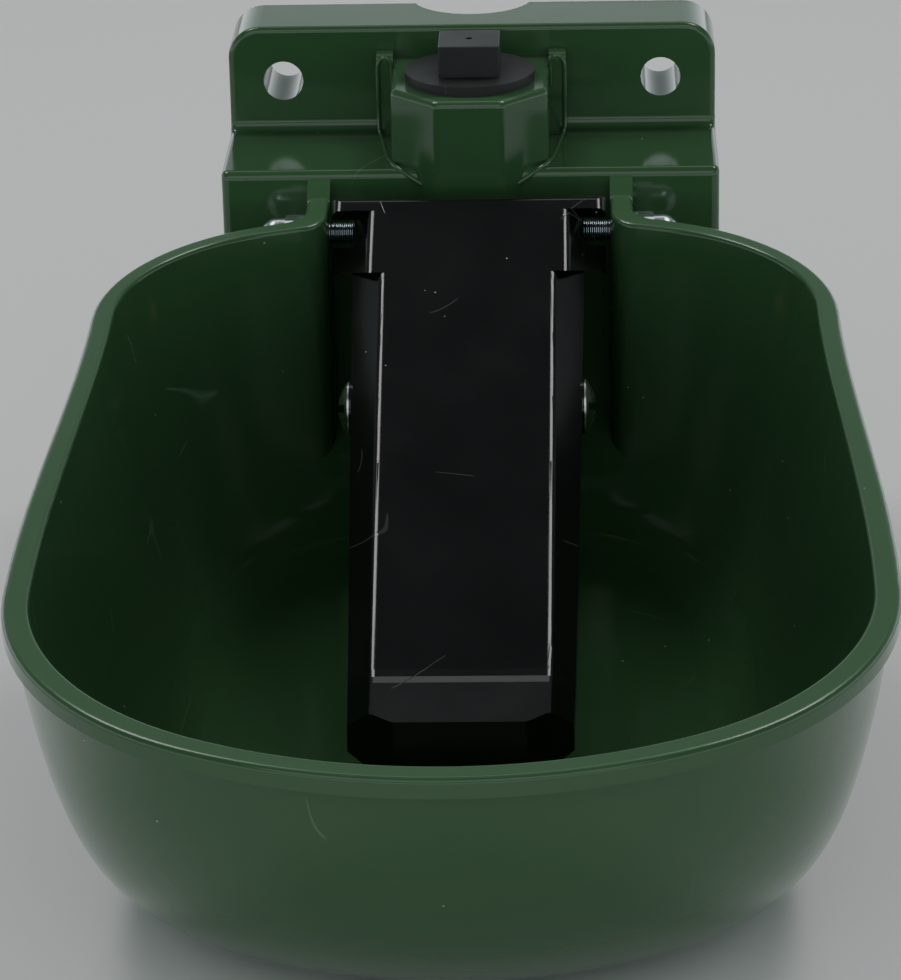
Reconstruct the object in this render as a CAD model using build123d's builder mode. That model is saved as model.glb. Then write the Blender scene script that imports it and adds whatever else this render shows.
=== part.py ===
"""Livestock drinking bowl with a tongue valve, for a wall or a post.

Frame: the origin lies on the wall face, midway between the two wall screw holes.
+X is to the right, +Y goes into the wall and +Z is up, so the bowl reaches towards -Y.
Every "reach" below is a distance out from the wall face, and every "level" is a height.
"""

from build123d import *

import os
from math import asin, cos, radians, sin, tan


# ---------------------------------------------------------------- driving sizes, mm
# Wall plate
screw_spacing = 95.0
screw_hole_dia = 10.0
screw_tube_wall = 3.2
plate_width = 122.6
plate_top = 13.8
plate_reach = 21.4
plate_corner_radius = 8.0
plate_edge_radius = 1.4
shell_wall = 3.4
plate_foot = -96.0
plate_cove_radius = 2.5

# Pipe recess in the back of the plate
recess_radius = 15.2
recess_setback = 4.6

# Mount block under the plate
shelf_level = -12.8
block_reach = 56.9
block_front_foot = -50.0
shelf_edge_radius = 2.2

# Water column and its gallery
column_reach = 40.7
column_half_width = 19.5
column_nose = 20.7
column_facet_width = 16.5
column_top = 5.9
column_foot = -20.5
column_corner_radius = 3.0
column_edge_radius = 1.6
pilaster_width = 4.2
pilaster_reach = 6.0
pilaster_top = 8.0
pilaster_edge_radius = 1.5
shroud_offset = 9.2
shroud_thickness = 1.8
shroud_height = 8.0
gallery_dia = 15.0
gallery_wall = 4.6
inlet_thread_minor_dia = 18.6
inlet_thread_depth = 15.0
inlet_level = -100.0
valve_level = -56.9
valve_boss_dia = 26.0
valve_boss_reach = 61.4

# Rim plane
rim_reach = 79.1
rim_level = -19.5
rim_tilt = 5.0
rim_overhang = 0.9
rim_depth = 4.2
rim_outer_radius = 1.3
rim_inner_radius = 1.0

# Bowl, measured in the rim plane from the rim reference line
bowl_half_width = 90.6
bowl_front = 258.5
bowl_front_radius = 114.4
bowl_front_half_angle = 26.1
bowl_side_angle = 88.5
bowl_back_radius = 54.0
bowl_back_angle = 18.0
bowl_back_offset = 16.2
bowl_back_share = 0.945
bowl_back_flat_share = 0.5
bowl_wall = 4.6
bowl_depth = 84.5
bowl_round_power = 3.6
bowl_side_draft = 0.127
bowl_front_draft = 0.25
bowl_side_rake = 27.0
bowl_front_rake = 106.0
bowl_back_rake = 24.0
bowl_back_swell = 0.25
bowl_levels = 8
bowl_last_share = 0.9985

# Valve channel between the two ribs
channel_half_width = 34.3
rib_thickness = 5.6
rib_crest_drop = 1.8
rib_crease_reach = 61.7
rib_root_length = 24.0
rib_fillet = 8.0
channel_corner_radius = 9.0
channel_back_floor = -74.0
channel_front_floor = -92.0
channel_floor_reach = 110.0

# Pivot
pivot_reach = 68.4
pivot_level = -24.7
pivot_dia = 5.0
pivot_fit = 0.05
pivot_barrel_dia = 11.0
pivot_barrel_half_width = 26.0
pivot_thread_engagement = 6.5
nut_bore_end = 0.6
pin_chamfer = 0.5
nut_flats = 8.0
nut_height = 4.0
nut_dome_dia = 7.5
nut_total = 10.0
nut_recess_dia = 10.0
nut_recess_reach = 46.5
washer_dia = 9.0
washer_thickness = 1.0

# Tongue: "along" runs down the tongue from the pivot, "high" is square to it
tongue_slope = 25.3
tongue_face_high = 9.5
tongue_wall = 2.6
tongue_edge_radius = 2.4
tongue_bar_start = -3.0
tongue_bar_end = 2.2
tongue_bar_half_width = 33.2
tongue_bar_foot_high = 6.4
tongue_bar_radius = 2.2
tongue_head_half_width = 23.9
tongue_cheek_half_width = 27.9
tongue_cheek_high = 4.6
tongue_ear_half_width = 33.2
tongue_ear_high = -1.7
tongue_ear_thickness = 3.4
tongue_ear_top_start = 9.7
tongue_ear_foot_start = 3.7
tongue_head_end = 23.6
tongue_ear_end = 12.0
pivot_barrel_foot_high = 3.4

# Sections of the tongue: along, then half widths at face, crease and foot, then their heights
tongue_sections = (
    (10.0, 20.6, 28.2, 28.7, 9.5, 4.0, -12.5),
    (147.6, 19.9, 25.1, 25.4, 9.5, 3.6, 0.0),
    (149.8, 19.85, 25.1, 25.4, 9.7, 3.8, -0.1),
    (152.0, 19.8, 25.0, 25.3, 10.2, 4.2, -0.2),
    (168.4, 19.5, 24.5, 24.7, 15.4, 9.0, -1.0),
    (176.0, 19.3, 24.3, 24.5, 17.8, 11.0, -1.0),
)
tongue_front_along = 167.2
tongue_front_high = 15.0
tongue_front_foot_along = 173.0
tongue_front_foot_high = 1.0
tongue_front_half_width = 14.6
tongue_corner_back = 4.6
tongue_corner_half_width = 20.2
tongue_front_corner_radius = 2.5
tongue_front_block_share = 2.0

# Valve, along a level line in front of the gallery
seat_reach = 57.0
valve_back_reach = 46.4
valve_shank_dia = 16.5
valve_chamber_dia = 13.4
valve_thread_fit = 0.05
valve_hex_flats = 22.0
valve_hex_length = 6.0
valve_nose_dia = 18.0
valve_nose_reach = 83.4
valve_port_dia = 7.4
valve_exit_dia = 13.0
valve_lead_in = 0.8
gasket_thickness = 1.5
gasket_dia = 21.0
stem_dia = 5.0
stem_reach = 125.4
stem_disc_dia = 12.0
stem_disc_thickness = 1.8
seal_thickness = 1.5
seal_gap = 0.1
clip_dia = 6.6
clip_thickness = 0.8
spring_wire_dia = 0.8
spring_dia = 9.6
spring_turns = 3.5
spring_seat_thickness = 1.0
spring_seat_port_dia = 4.5

# Cross pin of the tongue, as distances along and above the tongue's own line
cross_pin_reach = 119.5
cross_pin_level = -51.1
cross_pin_dia = 6.0
cross_pin_fit = 0.05
cross_head_dia = 12.8
cross_head_dome = 2.3
cross_head_collar = 0.4
cross_slot_width = 1.6
cross_slot_depth = 1.2
cross_head_face = 27.6
cross_head_gap = 0.05
cross_boss_start = 21.0
cross_cap_length = 1.2

# Inlet plug
plug_flange_dia = 32.0
plug_flange_thickness = 2.4
plug_head_side = 15.0
plug_head_height = 7.8
plug_head_edge = 0.6
plug_shank_length = 13.0
plug_thread_fit = 0.06
plug_bore_dia = 12.0
plug_dimple_dia = 1.6
plug_dimple_depth = 0.4
plug_seal_dia = 25.0
plug_seal_inner_dia = 19.0
plug_seal_thickness = 1.8
plug_seal_squeeze = 0.3
plug_seal_room = 0.2

# ---------------------------------------------------------------- derived sizes
rib_half_width = channel_half_width + rib_thickness
rim_up = Vector(0, -sin(radians(rim_tilt)), cos(radians(rim_tilt)))
half_turn = 180.0
quarter_turn = 90.0
match_tolerance = 0.05
hexagon_sides = 6


def rim_plane(depth=0.0):
    """Plane parallel to the rim, `depth` below it; its local -Y points forward."""
    return Plane(Vector(0, -rim_reach, rim_level) - rim_up * depth, x_dir=(1, 0, 0), z_dir=rim_up)


def rim_point_level(reach):
    """Height of the rim plane at a distance out from the wall."""
    return rim_level - (reach - rim_reach) * tan(radians(rim_tilt))


def on_rim(edge):
    """Whether the whole edge lies in the plane of the rim's flat top."""
    heights = [(edge.position_at(share) - rim_plane().origin).dot(rim_up) for share in (0, 1 / 2, 1)]
    return max(abs(height) for height in heights) < match_tolerance


def mirrored(point):
    """The same point on the left-hand side."""
    return (-point[0], point[1])


# ---------------------------------------------------------------- bowl form
def on_arc(centre_x, centre_y, radius, angle):
    """Point of an arc, with the angle taken from straight ahead."""
    return (centre_x + radius * sin(radians(angle)), centre_y - radius * cos(radians(angle)))


def bowl_outline(half_width, front, back_offset, back_radius):
    """Closed outline: a shallow front arc, two front corners, long bowed sides, raked back."""
    scale = half_width / bowl_half_width
    front_arc = bowl_front_radius * scale
    spread = sin(radians(bowl_front_half_angle))
    corner_arc = (half_width - front_arc * spread) / (1 - spread)
    front_y = front_arc - front
    corner_x = (front_arc - corner_arc) * spread
    corner_y = front_y - (front_arc - corner_arc) * cos(radians(bowl_front_half_angle))
    join = on_arc(0, front_y, front_arc, bowl_front_half_angle)
    corner_mid = on_arc(corner_x, corner_y, corner_arc, (bowl_front_half_angle + bowl_side_angle) / 2)
    corner_end = on_arc(corner_x, corner_y, corner_arc, bowl_side_angle)
    side_lean = (cos(radians(bowl_side_angle)), sin(radians(bowl_side_angle)))

    back_arc = back_radius * scale
    back_sin, back_cos = sin(radians(bowl_back_angle)), cos(radians(bowl_back_angle))
    back_x = half_width * bowl_back_share - back_arc
    back_y = (back_offset - back_arc - back_sin * back_x) / back_cos
    back_turn = half_turn - bowl_back_angle
    side_end = on_arc(back_x, back_y, back_arc, quarter_turn)
    back_mid = on_arc(back_x, back_y, back_arc, (quarter_turn + back_turn) / 2)
    back_end = on_arc(back_x, back_y, back_arc, back_turn)
    inner_x = back_end[0] * bowl_back_flat_share
    inner_end = (inner_x, (back_offset - back_sin * inner_x) / back_cos)

    ThreePointArc(mirrored(join), (0, -front), join)
    ThreePointArc(join, corner_mid, corner_end)
    Spline(corner_end, side_end, tangents=[side_lean, (0, 1)])
    ThreePointArc(side_end, back_mid, back_end)
    Line(back_end, inner_end)
    Line(inner_end, mirrored(inner_end))
    Line(mirrored(inner_end), mirrored(back_end))
    ThreePointArc(mirrored(back_end), mirrored(back_mid), mirrored(side_end))
    Spline(mirrored(side_end), mirrored(corner_end), tangents=[(0, -1), (side_lean[0], -side_lean[1])])
    ThreePointArc(mirrored(corner_end), mirrored(corner_mid), mirrored(join))


def bowl_form(inset, depth):
    """Solid of the bowl's outside (no inset) or of its hollow."""
    with BuildPart() as form:
        for level in range(bowl_levels):
            share = min(sin(radians(quarter_turn * level / (bowl_levels - 1))), bowl_last_share)
            sunk = depth * share
            closing = 1 - (1 - share**bowl_round_power) ** (1 / bowl_round_power)
            with BuildSketch(rim_plane(sunk)):
                with BuildLine():
                    bowl_outline(
                        bowl_half_width - inset - bowl_side_draft * sunk - bowl_side_rake * closing,
                        bowl_front - inset - bowl_front_draft * sunk - bowl_front_rake * closing,
                        bowl_back_offset - inset - bowl_back_rake * closing,
                        bowl_back_radius - inset + bowl_back_swell * sunk,
                    )
                make_face()
        loft()
    return form


def side_profile(*corners):
    """Closed profile in the upright mid-plane from (reach, level) corners."""
    Polygon([(-reach, level) for reach, level in corners], align=None)


def edges_at(shape, **place):
    """Straight edges of a part along X whose middle has the given coordinates."""
    return shape.edges().filter_by(
        lambda e: all(
            abs(getattr(e.center(), name) - value) < match_tolerance for name, value in place.items()
        )
    )


block_corners = (
    (0, shelf_level),
    (block_reach, shelf_level),
    (block_reach, block_front_foot),
    (plate_reach, plate_foot),
    (0, plate_foot),
)
column_front_reach = column_reach + column_nose
column_shoulder_reach = column_front_reach - (column_half_width - column_facet_width / 2)
column_corners = (
    (-column_half_width, -plate_reach),
    (-column_half_width, -column_shoulder_reach),
    (-column_facet_width / 2, -column_front_reach),
    (column_facet_width / 2, -column_front_reach),
    (column_half_width, -column_shoulder_reach),
    (column_half_width, -plate_reach),
)
plug_seat_depth = plug_seal_thickness - plug_seal_squeeze
plug_top = column_top + plug_flange_thickness + plug_head_height
bowl_outside = bowl_form(0, bowl_depth)
bowl_hollow = bowl_form(bowl_wall, bowl_depth - bowl_wall)
rim_front_of_ribs = rim_reach + rib_root_length
channel_slope = (channel_front_floor - channel_back_floor) / (channel_floor_reach - block_reach)
rib_front_foot = channel_back_floor - bowl_wall + channel_slope * (rim_front_of_ribs - block_reach)
pocket_side = block_reach - shell_wall

# ---------------------------------------------------------------- mount, still solid
with BuildPart() as mount_form:
    # Wall plate, mount block and water column
    with BuildSketch(Plane.XZ) as plate_sketch:
        with Locations((0, plate_top)):
            Rectangle(plate_width, plate_top - plate_foot, align=(Align.CENTER, Align.MAX))
        fillet(plate_sketch.vertices().group_by(Axis.Y)[-1], plate_corner_radius)
    extrude(amount=plate_reach)
    with BuildSketch(Plane.YZ):
        side_profile(*block_corners)
    extrude(amount=plate_width / 2, both=True)
    with BuildSketch(Plane.XY.offset(column_foot)) as column_sketch:
        Polygon(column_corners, align=None)
        front_corners = column_sketch.vertices().filter_by(
            lambda v: v.Y < -column_shoulder_reach + match_tolerance
        )
        fillet(front_corners, column_corner_radius)
    extrude(amount=column_top - column_foot)
    with BuildSketch(Plane.XZ.offset(plate_reach)):
        for side in (-1, 1):
            with Locations((side * (column_half_width + pilaster_width / 2), pilaster_top)):
                Rectangle(pilaster_width, pilaster_top - shelf_level, align=(Align.CENTER, Align.MAX))
    extrude(amount=pilaster_reach)
    with BuildSketch(Plane.XY.offset(column_foot)):
        for side in (-1, 1):
            with Locations((side * shroud_offset, -block_reach)):
                shroud_reach = column_front_reach - block_reach
                Rectangle(shroud_thickness, shroud_reach, align=(Align.CENTER, Align.MAX))
    extrude(amount=-shroud_height)

    # Rounded edges of the mount
    fillet(edges_at(mount_form, Y=-plate_reach, Z=shelf_level), plate_cove_radius)
    plate_rim = mount_form.edges().filter_by(
        lambda e: abs(e.center().Y + plate_reach) < match_tolerance
        and e.center().Z > shelf_level + plate_cove_radius
        and (abs(e.center().X) > screw_spacing / 2 or e.center().Z > plate_top - match_tolerance)
    )
    fillet(plate_rim, plate_edge_radius)
    fillet(edges_at(mount_form, Y=-block_reach, Z=shelf_level), shelf_edge_radius)
    column_lip = edges_at(mount_form, Z=column_top).filter_by(
        lambda e: e.center().Y < -plate_reach - pilaster_reach
    )
    fillet(column_lip, column_edge_radius)
    fillet(edges_at(mount_form, Y=-plate_reach - pilaster_reach, Z=pilaster_top), pilaster_edge_radius)

# ---------------------------------------------------------------- bowl body
with BuildPart() as bowl_body:
    add(bowl_outside.part)

    # Rim band, running on into the flat tops of the two ribs
    with BuildSketch(rim_plane(rim_depth)) as rim_sketch:
        with BuildLine():
            bowl_outline(
                bowl_half_width + rim_overhang,
                bowl_front + rim_overhang,
                bowl_back_offset + rim_overhang,
                bowl_back_radius + rim_overhang,
            )
        make_face()
        crease = (rim_reach - rib_crease_reach) / cos(radians(rim_tilt))
        with Locations((0, crease)):
            Rectangle(2 * rib_half_width, crease + rib_root_length, align=(Align.CENTER, Align.MAX))
        corners = rim_sketch.vertices().filter_by_position(Axis.Y, 0, crease - rim_depth)
        fillet(corners.filter_by(lambda v: abs(abs(v.X) - rib_half_width) < rim_overhang / 2), rib_fillet)
    extrude(amount=rim_depth)

    # Ribs and channel, behind the bowl
    with BuildSketch(Plane.YZ):
        side_profile(
            (pocket_side, shelf_level - rib_crest_drop),
            (block_reach, shelf_level - rib_crest_drop),
            (rib_crease_reach, rim_point_level(rib_crease_reach)),
            (rim_front_of_ribs, rim_point_level(rim_front_of_ribs)),
            (rim_front_of_ribs, rib_front_foot),
            (pocket_side, channel_back_floor - bowl_wall),
        )
    extrude(amount=rib_half_width, both=True)
    pocket_corners = bowl_body.edges().filter_by(
        lambda e: abs(abs(e.center().X) - rib_half_width) < match_tolerance
        and e.center().Y < -rib_crease_reach
        and e.length > rib_root_length
    )
    fillet(pocket_corners, rib_fillet)

    outer_lip_marks = [edge.center() for edge in bowl_body.edges().filter_by(on_rim)]

    # Hollow of the bowl, and the channel that opens into it
    add(bowl_hollow.part, mode=Mode.SUBTRACT)
    with BuildSketch(Plane.YZ):
        side_profile(
            (block_reach, plate_top),
            (channel_floor_reach, plate_top),
            (channel_floor_reach, channel_front_floor),
            (block_reach, channel_back_floor),
        )
    extrude(amount=channel_half_width, both=True, mode=Mode.SUBTRACT)
    channel_corners = bowl_body.edges().filter_by(
        lambda e: abs(abs(e.center().X) - channel_half_width) < match_tolerance
        and -rim_front_of_ribs < e.center().Y < -rib_crease_reach
        and e.length > 2 * rib_root_length
    )
    fillet(channel_corners, channel_corner_radius)

    # Rounded lips along both sides of the rim's flat top
    for outside, radius in ((True, rim_outer_radius), (False, rim_inner_radius)):
        lip = bowl_body.edges().filter_by(on_rim).filter_by(
            lambda e: e.center().Y < -rib_crease_reach - match_tolerance
            and outside == any((e.center() - mark).length < match_tolerance for mark in outer_lip_marks)
        )
        fillet(lip, radius)

    add(mount_form.part)

    # Hollow back of the plate and the block
    with BuildSketch(Plane.XZ) as cavity_sketch:
        with Locations((0, plate_top - shell_wall)):
            Rectangle(
                plate_width - 2 * shell_wall,
                plate_top - plate_foot - 2 * shell_wall,
                align=(Align.CENTER, Align.MAX),
            )
        fillet(cavity_sketch.vertices().group_by(Axis.Y)[-1], plate_corner_radius - shell_wall)
    extrude(amount=plate_reach - shell_wall, mode=Mode.SUBTRACT)
    with BuildSketch(Plane.YZ):
        side_profile(
            (-shell_wall, shelf_level),
            (block_reach, shelf_level),
            (block_reach, block_front_foot),
            (plate_reach, plate_foot),
            (-shell_wall, plate_foot),
        )
        offset(amount=-shell_wall, kind=Kind.INTERSECTION)
    extrude(amount=plate_width / 2 - shell_wall, both=True, mode=Mode.SUBTRACT)

    # Screw tubes, gallery tube and valve boss
    with BuildSketch(Plane.XZ):
        with GridLocations(screw_spacing, 0, 2, 1):
            Circle(screw_hole_dia / 2 + screw_tube_wall)
    extrude(amount=plate_reach)
    with BuildSketch(Plane.XY.offset(inlet_level)):
        with Locations((0, -column_reach)):
            Circle(gallery_dia / 2 + gallery_wall)
    extrude(amount=column_foot - inlet_level)
    with BuildSketch(Plane.XZ.offset(column_reach)):
        with Locations((0, valve_level)):
            Circle(valve_boss_dia / 2)
    extrude(amount=valve_boss_reach - column_reach)

    # Waterways
    with BuildSketch(Plane.XY.offset(inlet_level)):
        with Locations((0, -column_reach)):
            Circle(gallery_dia / 2)
    extrude(amount=column_top - inlet_level, mode=Mode.SUBTRACT)
    for start in (inlet_level, column_top - inlet_thread_depth):
        with BuildSketch(Plane.XY.offset(start)):
            with Locations((0, -column_reach)):
                Circle(inlet_thread_minor_dia / 2)
        extrude(amount=inlet_thread_depth, mode=Mode.SUBTRACT)
    with BuildSketch(Plane.XY.offset(column_top - plug_seat_depth)):
        with Locations((0, -column_reach)):
            Circle(plug_seal_dia / 2 + plug_seal_room)
    extrude(amount=plug_seat_depth, mode=Mode.SUBTRACT)
    with BuildSketch(Plane.XZ.offset(column_reach)):
        with Locations((0, valve_level)):
            Circle(valve_shank_dia / 2 + valve_thread_fit)
    extrude(amount=valve_boss_reach - column_reach, mode=Mode.SUBTRACT)

    # Screw holes, pivot holes, room for the nuts, and the pipe recess
    with BuildSketch(Plane.XZ):
        with GridLocations(screw_spacing, 0, 2, 1):
            Circle(screw_hole_dia / 2)
    extrude(amount=plate_reach, mode=Mode.SUBTRACT)
    with BuildSketch(Plane.YZ):
        with Locations((-pivot_reach, pivot_level)):
            Circle(pivot_dia / 2 + pivot_fit)
    extrude(amount=nut_recess_reach, both=True, mode=Mode.SUBTRACT)
    for side in (-1, 1):
        with BuildSketch(Plane.YZ.offset(side * rib_half_width)):
            with Locations((-pivot_reach, pivot_level)):
                Circle(nut_recess_dia / 2)
        extrude(amount=side * (nut_recess_reach - rib_half_width), mode=Mode.SUBTRACT)
    with BuildSketch(Plane.XY.offset(plate_foot)):
        with Locations((0, recess_setback)):
            Circle(recess_radius)
    extrude(amount=plate_top - plate_foot, mode=Mode.SUBTRACT)
bowl_body.part.label = "bowl_body"


# ---------------------------------------------------------------- tongue
down_tongue = Vector(0, -cos(radians(tongue_slope)), -sin(radians(tongue_slope)))
off_tongue = Vector(0, -sin(radians(tongue_slope)), cos(radians(tongue_slope)))
pivot_point = Vector(0, -pivot_reach, pivot_level)


def tongue_side(side_x=0.0):
    """Upright plane along the tongue; its local X runs down the face and its normal to the left."""
    return Plane(pivot_point + Vector(side_x, 0, 0), x_dir=down_tongue, z_dir=(-1, 0, 0))


def along_high(reach, level):
    """A point of the mid-plane in the tongue's own distances."""
    offset = Vector(0, -reach, level) - pivot_point
    return (offset.dot(down_tongue), offset.dot(off_tongue))


def across_tongue(along):
    """Plane square to the tongue; its local Y points off the tongue's face."""
    return Plane(pivot_point + down_tongue * along, x_dir=(1, 0, 0), z_dir=down_tongue)


def tongue_section(face_half, crease_half, foot_half, face_high, crease_high, foot_high):
    """Section of the tongue: flat face with rounded edges, sloping shoulders and steeper skirts."""
    Polygon(
        (-foot_half, foot_high),
        (foot_half, foot_high),
        (crease_half, crease_high),
        (face_half, face_high),
        (-face_half, face_high),
        (-crease_half, crease_high),
        align=None,
    )


def tongue_form(inset, foot_extra):
    """Solid of the tongue's outside (no inset) or of the hollow under it."""
    with BuildPart() as form:
        for along, face_half, crease_half, foot_half, face_high, crease_high, foot_high in tongue_sections:
            with BuildSketch(across_tongue(along)) as section:
                tongue_section(
                    face_half - inset / 2,
                    crease_half - inset,
                    foot_half - inset,
                    face_high - inset,
                    crease_high - inset / 2,
                    foot_high - foot_extra,
                )
                if not inset:
                    fillet(
                        section.vertices().filter_by(lambda v: abs(v.Y - face_high) < match_tolerance),
                        tongue_edge_radius,
                    )
        loft(ruled=True)
        front_along = tongue_front_along - inset
        lean = down_tongue * (tongue_front_foot_along - tongue_front_along)
        lean -= off_tongue * (tongue_front_high - tongue_front_foot_high)
        corner = tongue_corner_half_width - inset
        reach = 2 * tongue_bar_half_width
        plan = Plane(pivot_point + off_tongue * tongue_front_high, x_dir=(1, 0, 0), z_dir=off_tongue)
        with BuildSketch(plan) as front_plan:
            Polygon(
                (-reach, 0),
                (reach, 0),
                (reach, -front_along + tongue_corner_back + (reach - corner)),
                (corner, -front_along + tongue_corner_back),
                (tongue_front_half_width - inset, -front_along),
                (-tongue_front_half_width + inset, -front_along),
                (-corner, -front_along + tongue_corner_back),
                (-reach, -front_along + tongue_corner_back + (reach - corner)),
                align=None,
            )
            if not inset:
                front_corners = front_plan.vertices().filter_by(
                    lambda v: abs(abs(v.X) - tongue_front_half_width) < match_tolerance
                )
                fillet(front_corners, tongue_front_corner_radius)
        front_face = front_plan.sketch.faces()[0]
        block = Solid.extrude(
            front_face.moved(Location(-lean)), lean * (tongue_front_block_share + foot_extra)
        )
        add(block, mode=Mode.INTERSECT)
    return form


tongue_outside = tongue_form(0, 0)
tongue_hollow = tongue_form(tongue_wall, tongue_wall)
cross_along, cross_high = along_high(cross_pin_reach, cross_pin_level)


def ear_form(side):
    """Sloping ear beside the head, cut off along the line of the pin's window."""
    with BuildPart() as ear:
        with BuildSketch(across_tongue(0)):
            Polygon(
                (side * tongue_head_half_width, tongue_face_high - tongue_edge_radius / 2),
                (side * tongue_ear_half_width, tongue_ear_high),
                (side * tongue_ear_half_width, tongue_ear_high - tongue_ear_thickness / 2),
                (side * tongue_head_half_width, tongue_face_high - tongue_ear_thickness),
                align=None,
            )
        extrude(amount=tongue_head_end)
        with BuildSketch(tongue_side()):
            Polygon(
                (tongue_ear_top_start, tongue_cheek_high),
                (tongue_head_end, tongue_face_high),
                (tongue_ear_end, tongue_ear_high),
                (tongue_ear_end, tongue_ear_high - tongue_ear_thickness),
                (tongue_ear_foot_start, tongue_ear_high - tongue_ear_thickness),
                (tongue_ear_foot_start, tongue_ear_high),
                align=None,
            )
        extrude(amount=tongue_bar_half_width, both=True, mode=Mode.INTERSECT)
    return ear


with BuildPart() as tongue:
    # Head: a plate over the pivot with sloping cheeks
    with BuildSketch(across_tongue(0)) as head_section:
        Polygon(
            (-tongue_cheek_half_width, pivot_barrel_foot_high),
            (tongue_cheek_half_width, pivot_barrel_foot_high),
            (tongue_cheek_half_width, tongue_cheek_high),
            (tongue_head_half_width, tongue_face_high),
            (-tongue_head_half_width, tongue_face_high),
            (-tongue_cheek_half_width, tongue_cheek_high),
            align=None,
        )
        fillet(
            head_section.vertices().filter_by(lambda v: abs(v.Y - tongue_face_high) < match_tolerance),
            tongue_edge_radius,
        )
    extrude(amount=tongue_head_end)
    with BuildSketch(tongue_side()):
        Polygon(
            (0, tongue_face_high + tongue_wall),
            (tongue_head_end + tongue_wall, tongue_face_high + tongue_wall),
            (tongue_head_end, tongue_face_high),
            (tongue_head_end - tongue_face_high + tongue_cheek_high, tongue_cheek_high),
            (tongue_head_end - tongue_face_high + tongue_cheek_high, 0),
            (0, 0),
            align=None,
        )
    extrude(amount=tongue_bar_half_width, both=True, mode=Mode.INTERSECT)

    # Rounded bar across the back of the head
    with BuildPart() as bar:
        with BuildSketch(tongue_side()):
            with Locations((tongue_bar_start, tongue_face_high)):
                Rectangle(
                    tongue_bar_end - tongue_bar_start,
                    tongue_face_high - tongue_bar_foot_high,
                    align=(Align.MIN, Align.MAX),
                )
        extrude(amount=tongue_bar_half_width, both=True)
        bar_edges = bar.edges().filter_by(
            lambda e: abs((e.center() - pivot_point).dot(off_tongue) - tongue_face_high) < match_tolerance
            and (e.center() - pivot_point).dot(down_tongue) < tongue_bar_end - match_tolerance
        )
        fillet(bar_edges, tongue_bar_radius)
    add(bar.part)

    # Ears in front of the pin's windows, and the hinge barrel under the head
    for side in (-1, 1):
        add(ear_form(side).part)
    with BuildSketch(tongue_side()):
        Circle(pivot_barrel_dia / 2)
        with Locations((0, tongue_face_high / 2)):
            Rectangle(pivot_barrel_dia / 2, tongue_face_high / 2)
    extrude(amount=pivot_barrel_half_width, both=True)

    # Panel with its shoulders, skirts and front wall, and the bosses of the cross pin
    add(tongue_outside.part)
    add(tongue_hollow.part, mode=Mode.SUBTRACT)
    for side in (-1, 1):
        with BuildSketch(tongue_side(side * cross_boss_start)):
            with Locations((cross_along, cross_high)):
                Circle(cross_head_dia / 2)
        extrude(amount=-side * (cross_head_face - cross_head_gap - cross_boss_start))

    # Pin bores
    with BuildSketch(tongue_side()):
        Circle(pivot_dia / 2 + pivot_fit)
        with Locations((cross_along, cross_high)):
            Circle(cross_pin_dia / 2 + cross_pin_fit)
    extrude(amount=tongue_bar_half_width, both=True, mode=Mode.SUBTRACT)
tongue.part.label = "tongue"


# ---------------------------------------------------------------- pivot pin, washers and cap nuts
pin_half_length = rib_half_width + washer_thickness + pivot_thread_engagement
nut_face = rib_half_width + washer_thickness


def pivot_plane(side_x):
    """Upright plane across the pin, facing right."""
    return Plane((side_x, -pivot_reach, pivot_level), x_dir=(0, 1, 0), z_dir=(1, 0, 0))


with BuildPart() as pivot_pin:
    with BuildSketch(pivot_plane(0)):
        Circle(pivot_dia / 2)
    extrude(amount=pin_half_length, both=True)
    chamfer(pivot_pin.edges().filter_by(GeomType.CIRCLE), pin_chamfer)
pivot_pin.part.label = "pivot_pin"


def pin_washer(side):
    """Flat washer against the pocket side of a rib."""
    with BuildPart() as washer:
        with BuildSketch(pivot_plane(side * rib_half_width)):
            Circle(washer_dia / 2)
            Circle(pivot_dia / 2 + pivot_fit, mode=Mode.SUBTRACT)
        extrude(amount=side * washer_thickness)
    return washer


def cap_nut(side):
    """Domed nut: a hexagon, a round neck and a half-round dome over a blind bore."""
    dome_radius = nut_dome_dia / 2
    with BuildPart() as nut:
        with BuildSketch(pivot_plane(side * nut_face)):
            RegularPolygon(nut_flats / 2, hexagon_sides, major_radius=False)
        extrude(amount=side * nut_height)
        with BuildSketch(pivot_plane(side * nut_face)):
            Circle(dome_radius)
        extrude(amount=side * (nut_total - dome_radius))
        with Locations((side * (nut_face + nut_total - dome_radius), -pivot_reach, pivot_level)):
            Sphere(dome_radius)
        with BuildSketch(pivot_plane(side * nut_face)):
            Circle(pivot_dia / 2 + pivot_fit)
        extrude(amount=side * (pivot_thread_engagement + nut_bore_end), mode=Mode.SUBTRACT)
    return nut


pin_washer_left = pin_washer(-1)
pin_washer_left.part.label = "pin_washer_left"
pin_washer_right = pin_washer(1)
pin_washer_right.part.label = "pin_washer_right"
cap_nut_left = cap_nut(-1)
cap_nut_left.part.label = "cap_nut_left"
cap_nut_right = cap_nut(1)
cap_nut_right.part.label = "cap_nut_right"


# ---------------------------------------------------------------- cross pin and its cap
def cross_plane(side_x):
    """Upright plane across the cross pin, facing right."""
    return Plane((side_x, -cross_pin_reach, cross_pin_level), x_dir=(0, 1, 0), z_dir=(1, 0, 0))


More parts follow.
